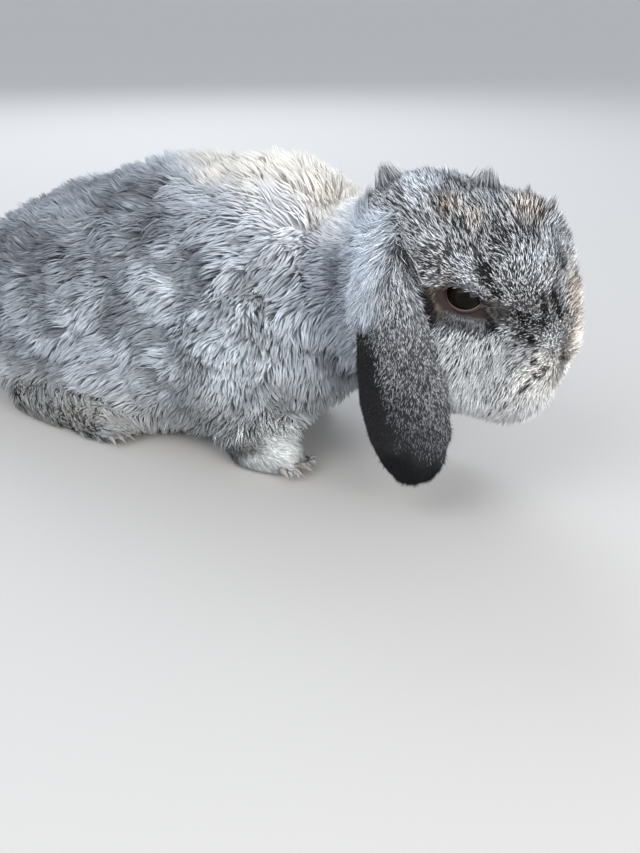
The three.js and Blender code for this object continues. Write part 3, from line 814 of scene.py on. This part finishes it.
for name, side in SIDES.items():
    bpy.ops.mesh.primitive_torus_add(
        major_radius=1, minor_radius=RIM_SHARE, major_segments=80, minor_segments=14
    )
    rim = bpy.context.object
    rim.name = f"lid_rim_{name}"
    ring = read_places(rim) / 1000
    turn = np.arctan2(ring[:, 1], ring[:, 0])
    away = (np.hypot(ring[:, 0], ring[:, 1]) - 1) / RIM_SHARE
    high = np.where(turn > 0, LID_HIGH[1], LID_HIGH[0])
    low_side = eased(0.3, -0.4, np.sin(turn))
    corner = np.exp(-((turn + 0.12) / 0.3) ** 2)
    outward = unit(np.stack([np.cos(turn) / LID_LONG, np.sin(turn) / high], 1))
    spot = np.stack([LID_LONG * np.cos(turn), high * np.sin(turn)], 1)
    spot += outward * (0.25 + (0.42 + 0.4 * low_side) * away)[:, None]
    spot[:, 0] += corner * (1.6 + 1.2 * away)
    across = spot[:, 0] * np.cos(LID_SLANT) - spot[:, 1] * np.sin(LID_SLANT)
    over = spot[:, 0] * np.sin(LID_SLANT) + spot[:, 1] * np.cos(LID_SLANT)
    lid = np.zeros((len(ring), 3))
    lid[:, 0] = across + LID_MIDDLE[0] + EYE_IN_HEAD[0]
    lid[:, 2] = over + LID_MIDDLE[1] + EYE_IN_HEAD[2]
    lid[:, 1] = ball_side(lid, 9) + 0.35 + 0.45 * eased(-1, 1, away) + 2.6 * ring[:, 2]
    lid[:, 1] *= side
    write_places(rim, from_head(lid))
    add_values(rim, "from_ball", (away + 1) / 2)
    if side < 0:
        rim.data.flip_normals()
    rim.data.materials.append(lid_flesh)
    finish_shape(rim)
    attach(rim, "root")

# ---- Claws
# Each claw is a cone of horn, bent to the ground, its tone grained from dark to paler.

horn, nodes, shader = principled("horn")
where = add_node(nodes, "ShaderNodeTexCoord")
grain = add_node(nodes, "ShaderNodeTexNoise")
set_inputs(grain, Scale=500)
tone = ramp_of(nodes, [(0.3, (0.2, 0.18, 0.165)), (0.7, (0.38, 0.35, 0.32))])
wire(where, "Object", grain, "Vector")
wire(grain, "Fac", tone, "Fac")
wire(tone, "Color", shader, "Base Color")
set_inputs(shader, Roughness=0.45)
for name in FILLERS:
    if name.startswith("claw"):
        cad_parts[name].material_slots[0].material = horn

# ---- Short coat
# The straight, close fur of the head, ears and feet: thin tufts rooted in the hide, dark at the
# root, paler along their length, with white, black or plain tips.

chance = np.random.default_rng(11)
spans = places[corner_points]
areas = 0.5 * np.linalg.norm(np.cross(spans[:, 1] - spans[:, 0], spans[:, 2] - spans[:, 0]), axis=1)


def roots_on(density, count):
    """Scatters roots over the hide by its density there, each as (triangle, shares of its corners)."""
    weights = areas * density[corner_points].mean(1)
    chosen = chance.choice(len(areas), count, p=weights / weights.sum())
    shares = chance.random((count, 2))
    past = shares.sum(1) > 1
    shares[past] = 1 - shares[past]
    return chosen, np.column_stack([1 - shares.sum(1), shares])


def at_roots(values, roots):
    chosen, shares = roots
    corners = values[corner_points[chosen]]
    return np.einsum("nc,nc...->n...", shares, corners)


def turned(ways, axes, angles):
    """Each way turned about its own axis, which it is square to."""
    angles = angles[:, None]
    return ways * np.cos(angles) + np.cross(axes, ways) * np.sin(angles)


PATCH = 0.003
TUFT_CORNERS = np.array([[0.0, 0.1], [1.0, 0.1], [0.5, 0.0]])
TUFT_SECTION = np.array([[-0.5, 0.0], [0.5, 0.0], [0.0, 0.42]])
FLOOR_GAP = 0.1


def unwrapped(roots):
    """Each root's place on the hide laid out flat: round the body or head, and along it."""
    place = at_roots(places, roots)
    x, y, z = place.T
    ahead, left, up = in_head(place).T
    body = np.stack([np.arctan2(y, z - 62) / np.pi, x / 200], 1)
    head = np.stack([np.arctan2(left, up) / np.pi, ahead / 60], 1)
    across, out, height = ear_frame(place).T
    ear = np.stack([across / 25 + 4 * np.sign(out) + 2 * at_roots(normals, roots)[:, 1], height / 60], 1)
    kinds = at_roots(zones, roots)
    return np.where(kinds[:, [EAR]] > 0.5, ear, np.where(kinds[:, [HEAD]] > 0.5, head, body))


def patches(spots):
    """A small square of the map for each tuft, in the order of the roots on the flat hide."""
    count = len(spots)
    columns = int(np.ceil(np.sqrt(count)))
    column = np.empty(count, int)
    column[np.argsort(spots[:, 0], kind="stable")] = np.arange(count) * columns // count
    order = np.lexsort((spots[:, 1], column))
    firsts = np.searchsorted(column[order], np.arange(columns))
    row = np.empty(count, int)
    row[order] = np.arange(count) - firsts[column[order]]
    return np.column_stack([column / columns, row / (row.max() + 1)]) * (1 - 2 * PATCH) + PATCH / 2


def add_coat(name, spots, rings, tips, sides, ups, widths, normals, color, tip_color, start=0.0, relief=0.7):
    """One mesh of closed three-sided tufts. rings holds the middles of each tuft's rings, root first."""
    count, levels = rings.shape[:2]
    across, up = TUFT_SECTION.T[:, :, None]
    offsets = across * sides[:, None, None] + up * ups[:, None, None]
    ring_places = rings[:, :, None] + offsets * widths[:, :, None, None]
    points = np.concatenate([ring_places.reshape(count, -1, 3), tips[:, None]], 1)
    points[..., 2] = np.maximum(points[..., 2], FLOOR_GAP)
    bent = np.concatenate([np.repeat(offsets, levels, 1).reshape(count, -1, 3), 0 * tips[:, None]], 1)
    bent = unit(normals[:, None] + relief * bent)
    start = np.broadcast_to(start, (count,))[:, None]
    ramp = np.repeat(start + (0.5 - start) * np.linspace(0, 1, levels), 3, axis=1)
    along = np.concatenate([ramp, np.ones((count, 1))], 1)
    faces = [[0, 1, 2]]
    for level in range(levels):
        for n in range(3):
            a, b = 3 * level + n, 3 * level + (n + 1) % 3
            if level == levels - 1:
                faces.append([b, a, 3 * levels])
            else:
                faces += [[b, a, a + 3], [b, a + 3, b + 3]]
    faces = np.array(faces)
    size = 3 * levels + 1
    loops = (faces[None] + size * np.arange(count)[:, None, None]).ravel()
    mesh = bpy.data.meshes.new(name)
    mesh.vertices.add(count * size)
    mesh.vertices.foreach_set("co", (points / 1000).astype(np.float32).ravel())
    mesh.loops.add(len(loops))
    mesh.loops.foreach_set("vertex_index", loops.astype(np.int32))
    mesh.polygons.add(len(loops) // 3)
    mesh.polygons.foreach_set("loop_start", np.arange(0, len(loops), 3, dtype=np.int32))
    mesh.update(calc_edges=True)
    mesh.polygons.foreach_set("use_smooth", np.ones(len(mesh.polygons), bool))
    on_patch = np.concatenate([TUFT_CORNERS + [0, 0.8 * n / levels] for n in range(levels)] + [[[0.5, 0.95]]])
    uv = patches(spots)[:, None] + PATCH * on_patch
    uv = uv.reshape(-1, 2)[loops].astype(np.float32)
    mesh.uv_layers.new(name="OFBake").uv.foreach_set("vector", uv.ravel())
    mesh.normals_split_custom_set_from_vertices(bent.reshape(-1, 3).astype(np.float32))
    piece = bpy.data.objects.new(name, mesh)
    bpy.context.collection.objects.link(piece)
    add_values(piece, "tint", np.repeat(color, size, 0))
    add_values(piece, "tip", np.repeat(tip_color, size, 0))
    add_values(piece, "along", along.ravel())
    mesh.materials.append(tuft_fur)
    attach(piece, "root")
    return piece


tuft_fur, nodes, shader = principled("tuft_fur")
tint = add_node(nodes, "ShaderNodeAttribute", attribute_name="tint")
tip = add_node(nodes, "ShaderNodeAttribute", attribute_name="tip")
along = add_node(nodes, "ShaderNodeAttribute", attribute_name="along")
shade = ramp_of(nodes, [(0.0, (0.3, 0.3, 0.33)), (0.4, (1, 1, 1))])
tipping = ramp_of(nodes, [(0.4, (0, 0, 0)), (0.6, (1, 1, 1))])
length_mix = add_node(nodes, "ShaderNodeMix", data_type="RGBA", blend_type="MULTIPLY")
set_inputs(length_mix, Factor=1)
tip_mix = add_node(nodes, "ShaderNodeMix", data_type="RGBA")
wire(along, "Fac", shade, "Fac")
wire(along, "Fac", tipping, "Fac")
wire(tint, "Color", length_mix, "A")
wire(shade, "Color", length_mix, "B")
wire(tipping, "Color", tip_mix, "Factor")
wire(length_mix, "Result", tip_mix, "A")
wire(tip, "Color", tip_mix, "B")
wire(tip_mix, "Result", shader, "Base Color")
set_inputs(shader, Roughness=0.6, Specular_IOR_Level=0.12, Sheen_Weight=0.05, Sheen_Roughness=0.5)


def kinds_of(white, black):
    """1 for a white-tipped hair, -1 for a black-tipped one and 0 for a plain one, by chance."""
    draw = chance.random(len(white))
    return np.select([draw < white, draw > 1 - black], [1, -1], 0)


WHITE_TIP = np.array([0.38, 0.4, 0.425])


def tip_colors(color, kinds, contrast=1.0):
    pale = color * (1 + 0.3 * contrast) + contrast * WHITE_TIP
    tips = np.where((kinds == 1)[:, None], pale, color)
    return np.where((kinds == -1)[:, None], color * np.maximum(1 - 0.93 * contrast, 0.05), tips)


def short_coat(name, density, count, width, lie, length, pieces, root_tone):
    """Straight tufts, thinnest and flattest where the coat is shallow. Ticked ones lie on top."""
    roots = roots_on(density, count)
    place, kinds_here, deep_here = (at_roots(values, roots) for values in (places, zones, depth))
    normal = unit(at_roots(normals, roots))
    way = at_roots(flow, roots)
    way = unit(way - (way * normal).sum(1, keepdims=True) * normal)
    on_head, on_ear = kinds_here[:, HEAD], kinds_here[:, EAR]
    on_foot = kinds_here[:, [FOREPAW, HINDFOOT]].sum(1)
    ahead, _, up = in_head(place).T
    height = ear_frame(place)[:, 2]
    crown = on_head * eased(22, 32, up)
    cheek = on_head * eased(4, -6, up - 0.3 * ahead)
    by_tip = 2.6 * on_head * eased(42, 48, ahead) + on_foot

    wander = (0.9 + 1.1 * crown) * (cloud(place, 7, 31.0) - 0.5)
    wander += (0.25 + 0.13 * on_ear) * chance.standard_normal(count)
    way = turned(way, normal, wander)
    slope = np.radians(lie)
    reach = way * (0.6 * deep_here / np.tan(slope))[:, None]
    color, white, black = markings(place + reach, kinds_here)
    over = place + 0.85 * deep_here[:, None] * normal
    # Painted shade: tufts that cross a crease or parting are darkened and lose their white tips.
    parting_shade = np.max([in_crease_shade(over + reach * far) for far in (-0.2, 0.5, 1.1)], axis=0)
    parting_shade *= (on_head + on_ear) * (0.7 + 0.3 * chance.random(count))
    kinds = kinds_of(white * (1 - 0.8 * parting_shade), black)
    ticked = kinds != 0

    lift = slope * (0.75 + 0.4 * chance.random(count) + 0.12 * ticked) * (1 - 0.45 * at_roots(toes, roots))
    lift *= 1 - 0.55 * on_ear * eased(-30, -62, height)
    deep = np.minimum(deep_here, 6.5) * np.where(ticked, 1.06, 0.86)
    long = length * deep / np.sin(slope) * (0.75 + 0.35 * chance.random(count))
    long *= (1 + 0.2 * cheek) * (1 - 0.42 * on_foot)
    wide = width * ((0.75 + 0.5 * chance.random(count) + 0.25 * ticked) * (1 - 0.2 * cheek))[:, None]
    color = color * (1 - 0.9 * parting_shade)[:, None]
    color = color * (0.9 + (0.5 + 0.6 * on_ear) * (chance.random(count) - 0.5))[:, None]
    fade = 1.15 + 0.15 * on_head - 0.7 * on_ear * eased(-12, -60, height) - 0.9 * on_foot
    fade *= 0.75 + 0.6 * chance.random(count) - on_ear * (0.3 - 0.6 * chance.random(count))
    tip_color = tip_colors(color, kinds, fade[:, None])

    tips = place + (way * np.cos(lift)[:, None] + normal * np.sin(lift)[:, None]) * long[:, None]
    rings = (place - 0.4 * normal)[:, None]
    side = np.cross(way, normal)
    start = root_tone + 0.08 * cheek + 0.25 * by_tip
    spots = unwrapped(roots)
    near = one_side(tips)
    lid_reach = np.where(near[:, 2] > EYE_IN_HEAD[2] + 2, 0.72, 1.08)
    clear = (lid_share(near) > lid_reach) | (near[:, 1] < FACE_SIDE)
    by_side = np.argsort(place[:, 1])
    values = (spots, rings, tips, side, normal, wide, normal, color, tip_color, start)
    for n, own in enumerate(np.array_split(by_side[clear[by_side]], pieces)):
        add_coat(f"{name}_{n + 1}", *(value[own] for value in values))


over_eye = q[:, 2] - EYE_IN_HEAD[2]
bare = lid_share(q) < np.where(over_eye > 1, 1.04, 1.13 + 0.13 * eased(1, -4, over_eye))
bare |= (off_line(q, TEAR) < 1.7) | (off_line(q, TEAR_ROOT) < 1.5)
furred = ~(bare & (q[:, 1] > FACE_SIDE) & (zones[:, HEAD] > 0.5))
feet = zones[:, FOREPAW] + zones[:, HINDFOOT] * (0.25 + 0.75 * toes)
short_coat("coat_head", zones[:, HEAD] * furred * (1 - 0.8 * ruff_share), 120000, 0.58, 38, 0.9, 3, -0.25)
short_coat("coat_ear", zones[:, EAR], 68000, 0.27, 22, 0.8, 2, 0.0)
short_coat("coat_foot", feet, 22000, 0.7, 24, 0.9, 1, 0.25)

# ---- Long coat
# The deep, soft fur of the neck, body, legs and tail, and the pale ruff behind each ear: curved
# locks rooted in the hide that gather in clumps and follow it down and back.

LOCK_SIZE = 8
LOCK_RELIEF = 0.2
LOCK_CONTRAST = 0.24


def lock_coat(name, density, count, width, lie, pull, pieces):
    """Curved tufts that follow the hide in clumps, each clump with its own turn, height and tone."""
    roots = roots_on(density, count)
    place, kinds_here, deep = (at_roots(values, roots) for values in (places, zones, depth))
    normal = unit(at_roots(normals, roots))
    heads = chance.choice(count, count // LOCK_SIZE, replace=False)
    crowd = KDTree(len(heads))
    for n, head in enumerate(heads):
        crowd.insert(place[head], n)
    crowd.balance()
    own = heads[[crowd.find(point)[1] for point in place]]
    high = deep * (0.88 + 0.18 * chance.random(count))[own] * (0.86 + 0.22 * chance.random(count))
    long = deep / np.tan(np.radians(lie)) * (0.7 + 0.6 * chance.random(count))
    long *= 1 + 2.2 * kinds_here[:, HINDFOOT]
    calm = 1 - 0.45 * eased(30, 70, place[:, 0]) * (place[:, 2] > 40)
    wander = calm * (1.6 * (cloud(place, 18, 41.0) - 0.5) + 2.0 * (cloud(place, 8, 43.0) - 0.5))
    wander += (0.2 * chance.standard_normal(count))[own] + 0.12 * chance.standard_normal(count)
    way = turned(unit(at_roots(flow, roots)), normal, wander)
    levels = [place - 0.6 * normal]
    ground, up = place, normal
    for rise in (0.66, 1.0):
        ahead = ground + way * (long / 2)[:, None]
        hits = [hide_tree.find_nearest(point) for point in ahead]
        ground = np.array([hit[0] for hit in hits])
        corners = corner_points[[hit[2] for hit in hits]]
        up = unit(normals[corners].mean(1))
        way = unit(flow[corners].mean(1))
        way = turned(way, up, wander * 0.6 + 0.5 * (cloud(ground, 9, 53.0) - 0.5))
        levels.append(ground + up * (rise * high)[:, None])
    base, middle, tips = levels
    share = (pull * (0.4 + 0.6 * chance.random(count)))[:, None]
    tips = tips + share * (tips[own] - tips)
    middle = middle + 0.35 * share * (middle[own] - middle)
    shade = (0.87 + 0.24 * chance.random(count))[own] * (0.94 + 0.12 * chance.random(count))
    side = unit(np.cross(unit(tips - base), normal))
    wide = width * (0.7 + 0.6 * chance.random((count, 1))) * [[0.8, 1.0]]
    color, white, black = markings(0.5 * (place + tips), kinds_here)
    color = color * shade[:, None]
    tip_color = tip_colors(color, kinds_of(white, 0.5 * black), LOCK_CONTRAST)
    lean = unit(normal + 0.5 * up)
    rings = np.stack([base, middle], 1)
    start = 0.36 + 0.3 * color.mean(1) + 0.25 * kinds_here[:, HINDFOOT]
    spots = unwrapped(roots)
    values = (spots, rings, tips, side, normal, wide, lean, color, tip_color, start)
    for n, own in enumerate(np.array_split(np.argsort(place[:, 0]), pieces)):
        add_coat(f"{name}_{n + 1}", *(value[own] for value in values), relief=LOCK_RELIEF)


lock_coat("coat_body", long_share + zones[:, HINDFOOT] * (1 - toes), 65000, 0.95, 61, 0.5, 5)
lock_coat("coat_ruff", ruff_share, 9000, 0.55, 32, 0.3, 1)

# ---- Crests
# Four small tufts of longer hair that stand up along the crown, each drawn to a point. Their
# strands are rooted in the hide round one spot and lean together.

CRESTS = [
    ((-57, -9, 17), (-0.3, -0.05, 1), 10, 4.2), ((-22, 2, 41), (-0.05, 0, 1), 9, 3.6),
    ((-6, 2, 48), (-0.1, 0, 1), 6.5, 1.5), ((4, 0, 50), (0.3, -0.1, 1), 7.5, 1.8),
]
STRANDS_PER_MM = 60
CREST_ACROSS = [0.81, 0.59, 0.3]
CREST_WHITE, CREST_BLACK = 0.4, 0.1

roots, ends = [], []
for middle, heading, high, wide in CRESTS:
    middle = from_head(np.array([middle], float))[0]
    heading = unit(np.array(heading, float))
    for point in middle + wide * chance.standard_normal((int(STRANDS_PER_MM * wide), 3)):
        roots.append(np.array(hide_tree.find_nearest(point)[0]))
        peak = middle + high * (0.75 + 0.35 * chance.random()) * heading
        fan = (0.15 + 0.5 * chance.random()) * (roots[-1] - middle)
        ends.append(peak + fan + 0.06 * high * chance.standard_normal(3))
roots, ends = np.array(roots), np.array(ends)
count = len(roots)
out = unit(ends - roots)
side = unit(np.cross(out, CREST_ACROSS))
middle = 0.5 * (roots + ends) + 0.15 * (ends - roots)[:, [1, 0, 2]] * [0.3, -0.3, 0]
wide = (0.6 + 0.4 * chance.random((count, 1))) * [[1, 0.75]]
color = GRIZZLE * (0.7 + 1.4 * chance.random((count, 1)))
kinds = kinds_of(np.full(count, CREST_WHITE), np.full(count, CREST_BLACK))
add_coat(
    "coat_crest", roots[:, :2], np.stack([roots - 0.5 * out, middle], 1), ends, side, np.cross(side, out),
    wide, unit(out + [0, 0, 0.4]), color, tip_colors(color, kinds),
)

# ---- Whiskers
# Five fine, pale, stiff hairs on each whisker pad. They grow out of the pad, sweep to the side and
# sag a little to the tip.

WHISKERS = 5
WHISKER_WIDTH = 0.14
WHISKER_TONE = 0.35

draws = chance.random((WHISKERS, 3))
starts = np.stack([40 + 5 * draws[:, 0], np.full(WHISKERS, 14.0), -8 + 12 * draws[:, 1]], 1)
sweep = unit(np.stack([0.1 + 0.5 * draws[:, 2], np.ones(WHISKERS), -0.9 + 1.1 * draws[:, 1]], 1))
starts = np.concatenate([starts, starts * [1, -1, 1]])
sweep = np.concatenate([sweep, sweep * [1, -1, 1]])
reach = 16 + 14 * chance.random(2 * WHISKERS)[:, None]
starts, sweep = from_head(starts), sweep @ HEAD_TURN.T
bend = starts + 0.5 * reach * sweep
ends = starts + reach * unit(sweep - [0, 0, 0.25])
side = unit(np.cross(sweep, [0, 0, 1]))
wide = np.tile([WHISKER_WIDTH, 0.8 * WHISKER_WIDTH], (2 * WHISKERS, 1))
color = np.full((2 * WHISKERS, 3), WHISKER_TONE)
add_coat(
    "whiskers", starts[:, :2], np.stack([starts, bend], 1), ends, side, np.cross(side, sweep),
    wide, unit(sweep + [0, 0, 1]), color, color,
)

# ---- Studio
# A plain pale floor that runs out of sight, a soft sky, and three large lamps.

FLOOR_SIZE, FLOOR_DROP = 60, 0.0005
LAMPS = [
    ("key", (-0.1, -1.15, 1.0), (0, 0, 0.05), 1.1, 10, (1, 0.98, 0.96)),
    ("back", (-0.9, 0.9, 1.0), (-0.05, 0, 0.08), 1.0, 12, (0.9, 0.95, 1)),
    ("side", (1.1, -0.48, 0.38), (0.15, 0, 0.08), 0.7, 13, (1, 0.95, 0.88)),
]

bpy.ops.mesh.primitive_plane_add(size=FLOOR_SIZE, location=(0, 0, -FLOOR_DROP))
floor = bpy.context.object
floor.name = "floor"
paper, nodes, shader = principled("pale_paper")
set_inputs(shader, Base_Color=(0.5, 0.49, 0.48, 1), Roughness=0.9)
floor.data.materials.append(paper)

sky = bpy.data.worlds.new("studio")
sky.use_nodes = True
set_inputs(sky.node_tree.nodes["Background"], Color=(0.86, 0.92, 1, 1), Strength=0.92)
bpy.context.scene.world = sky

for name, place, aim, size, power, color in LAMPS:
    bpy.ops.object.light_add(type="AREA", location=place)
    light = bpy.context.object
    light.name = name
    light.data.size = size
    light.data.energy = power
    light.data.color = color
    light.rotation_euler = (Vector(aim) - Vector(place)).to_track_quat("-Z", "Y").to_euler()

# ---- Camera
# It looks from the animal's right front and a little above.

bpy.ops.object.camera_add(location=(0.3467, -0.381, 0.22), rotation=(np.radians(66), 0, np.radians(36)))
camera = bpy.context.object
camera.data.sensor_fit = "VERTICAL"
camera.data.sensor_height = 36
camera.data.lens = 42.2
camera.data.clip_start = 0.01
bpy.context.scene.camera = camera
bpy.context.scene.view_settings.view_transform = "Standard"
